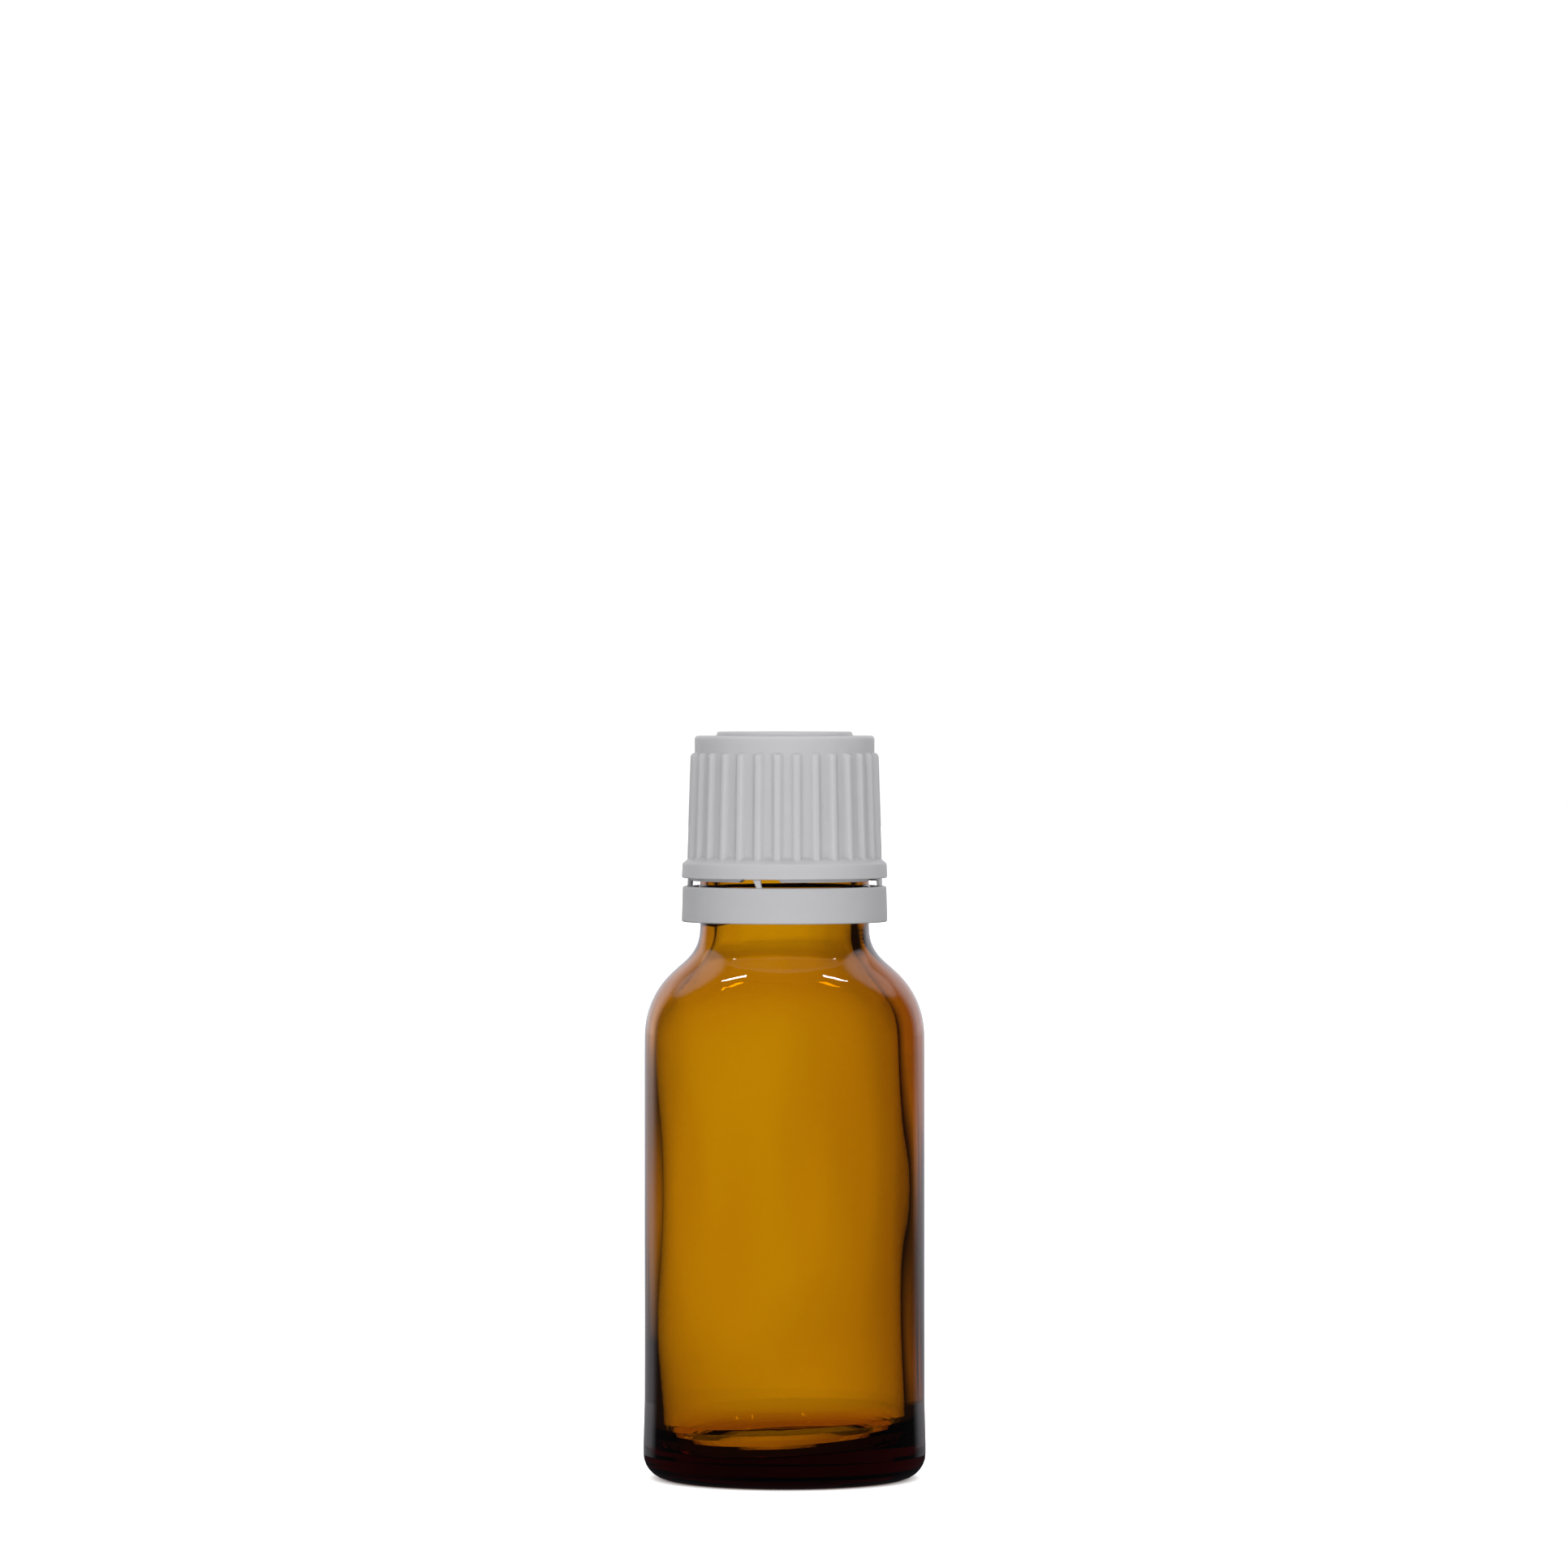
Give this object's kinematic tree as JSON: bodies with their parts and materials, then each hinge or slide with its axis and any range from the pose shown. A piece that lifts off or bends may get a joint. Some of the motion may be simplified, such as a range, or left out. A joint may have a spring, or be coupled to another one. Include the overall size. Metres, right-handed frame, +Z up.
{
  "type": "dropper vial",
  "caption": "Amber glass vial with a dropper insert and a ribbed white screw cap, whose tamper-evident ring stays on the neck.",
  "frame": {"origin": "centre of the foot, on the plane that the vial stands on", "axes": "+Z up along the vial's axis, -Y the front, +X to the right seen from the front"},
  "size_m": [0.029, 0.029, 0.0765],
  "materials": {
    "amber_glass": "fire-polished amber container glass",
    "natural_polyethylene": "moulded natural low-density polyethylene",
    "white_polypropylene": "moulded white polypropylene, satin",
    "foamed_polyethylene": "foamed polyethylene disc"
  },
  "bodies": {
    "bottle": {"glass_bottle": "amber_glass", "dropper_insert": "natural_polyethylene"},
    "liner": {"cap_liner": "foamed_polyethylene"},
    "cap": {"screw_cap": "white_polypropylene"},
    "ring": {"tamper_ring": "white_polypropylene", "bridge_1": "white_polypropylene", "bridge_2": "white_polypropylene", "bridge_3": "white_polypropylene", "bridge_4": "white_polypropylene"}
  },
  "joints": [
    {"name": "cap_lift", "type": "slide", "parent": "bottle", "child": "liner", "axis": [0, 0, 1], "range_m": [0, 0.015]},
    {"name": "cap_turn", "type": "hinge", "parent": "liner", "child": "cap", "pos_m": [0, 0, 0.0744], "axis": [0, 0, 1], "range_deg": [0, 1800]},
    {"name": "ring_drop", "type": "slide", "parent": "bottle", "child": "ring", "axis": [0, 0, 1], "range_m": [-0.0026, 0]}
  ],
  "couplings": [
    {"joint": "cap_lift", "follows": "cap_turn", "m_per_rad": 0.00047746}
  ]
}
